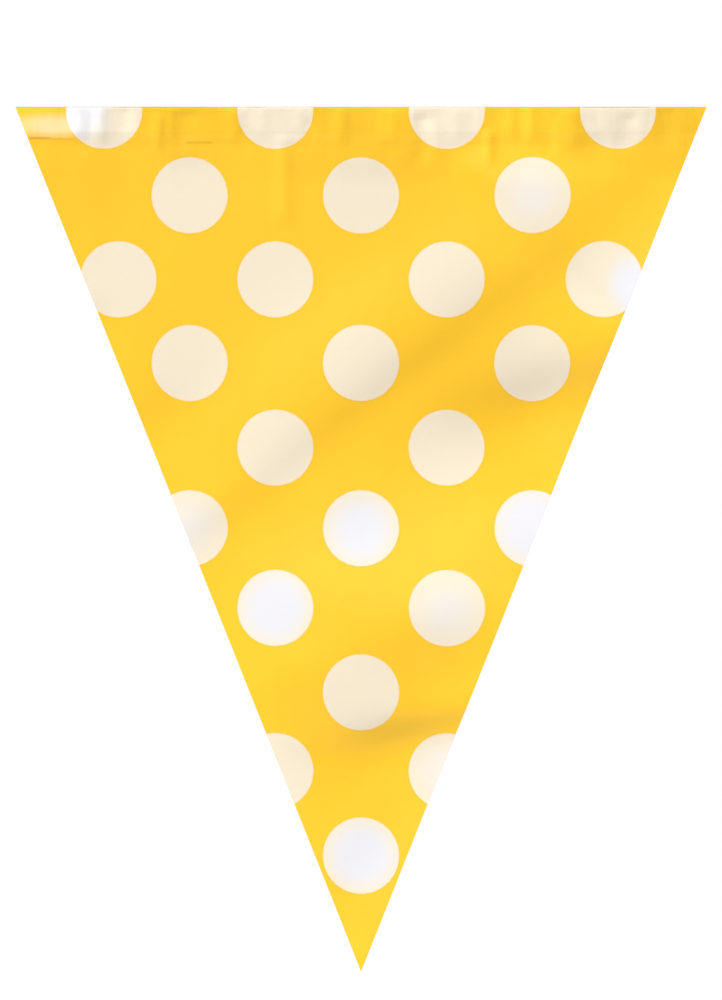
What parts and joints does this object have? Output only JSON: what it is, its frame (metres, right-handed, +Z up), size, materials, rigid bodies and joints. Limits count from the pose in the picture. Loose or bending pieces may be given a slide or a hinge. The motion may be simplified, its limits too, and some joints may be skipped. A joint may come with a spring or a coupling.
{
  "type": "bunting pennant",
  "caption": "Triangular polka-dot film pennant, tip down, with a sealed cord sleeve along its top and free film below that swings and flexes.",
  "frame": {"origin": "middle of the bunting cord's axis inside the sleeve, 1.4 mm below the top of the fold", "axes": "+Z up along the hanging film, +X along the cord and across the pennant, -Y out of the printed front"},
  "size_m": [0.2032, 0.0032, 0.254],
  "materials": {
    "dotted_film": "glossy printed plastic film, yellow ground with cream-white dots"
  },
  "bodies": {
    "header": {"header_front": "dotted_film", "header_fold": "dotted_film", "header_flap": "dotted_film", "hem_seal": "dotted_film"},
    "upper_band": {"film_upper": "dotted_film"},
    "middle_band": {"film_middle": "dotted_film"},
    "tip_band": {"film_tip": "dotted_film"}
  },
  "joints": [
    {"name": "seam_swing", "type": "hinge", "parent": "header", "child": "upper_band", "pos_m": [0, 0, -0.00785], "axis": [1, 0, 0], "range_deg": [-90, 90]},
    {"name": "upper_flex", "type": "hinge", "parent": "upper_band", "child": "middle_band", "pos_m": [0, 0, -0.08815], "axis": [1, 0, 0], "range_deg": [-90, 90]},
    {"name": "lower_flex", "type": "hinge", "parent": "middle_band", "child": "tip_band", "pos_m": [0, 0, -0.16845], "axis": [1, 0, 0], "range_deg": [-90, 90]}
  ]
}
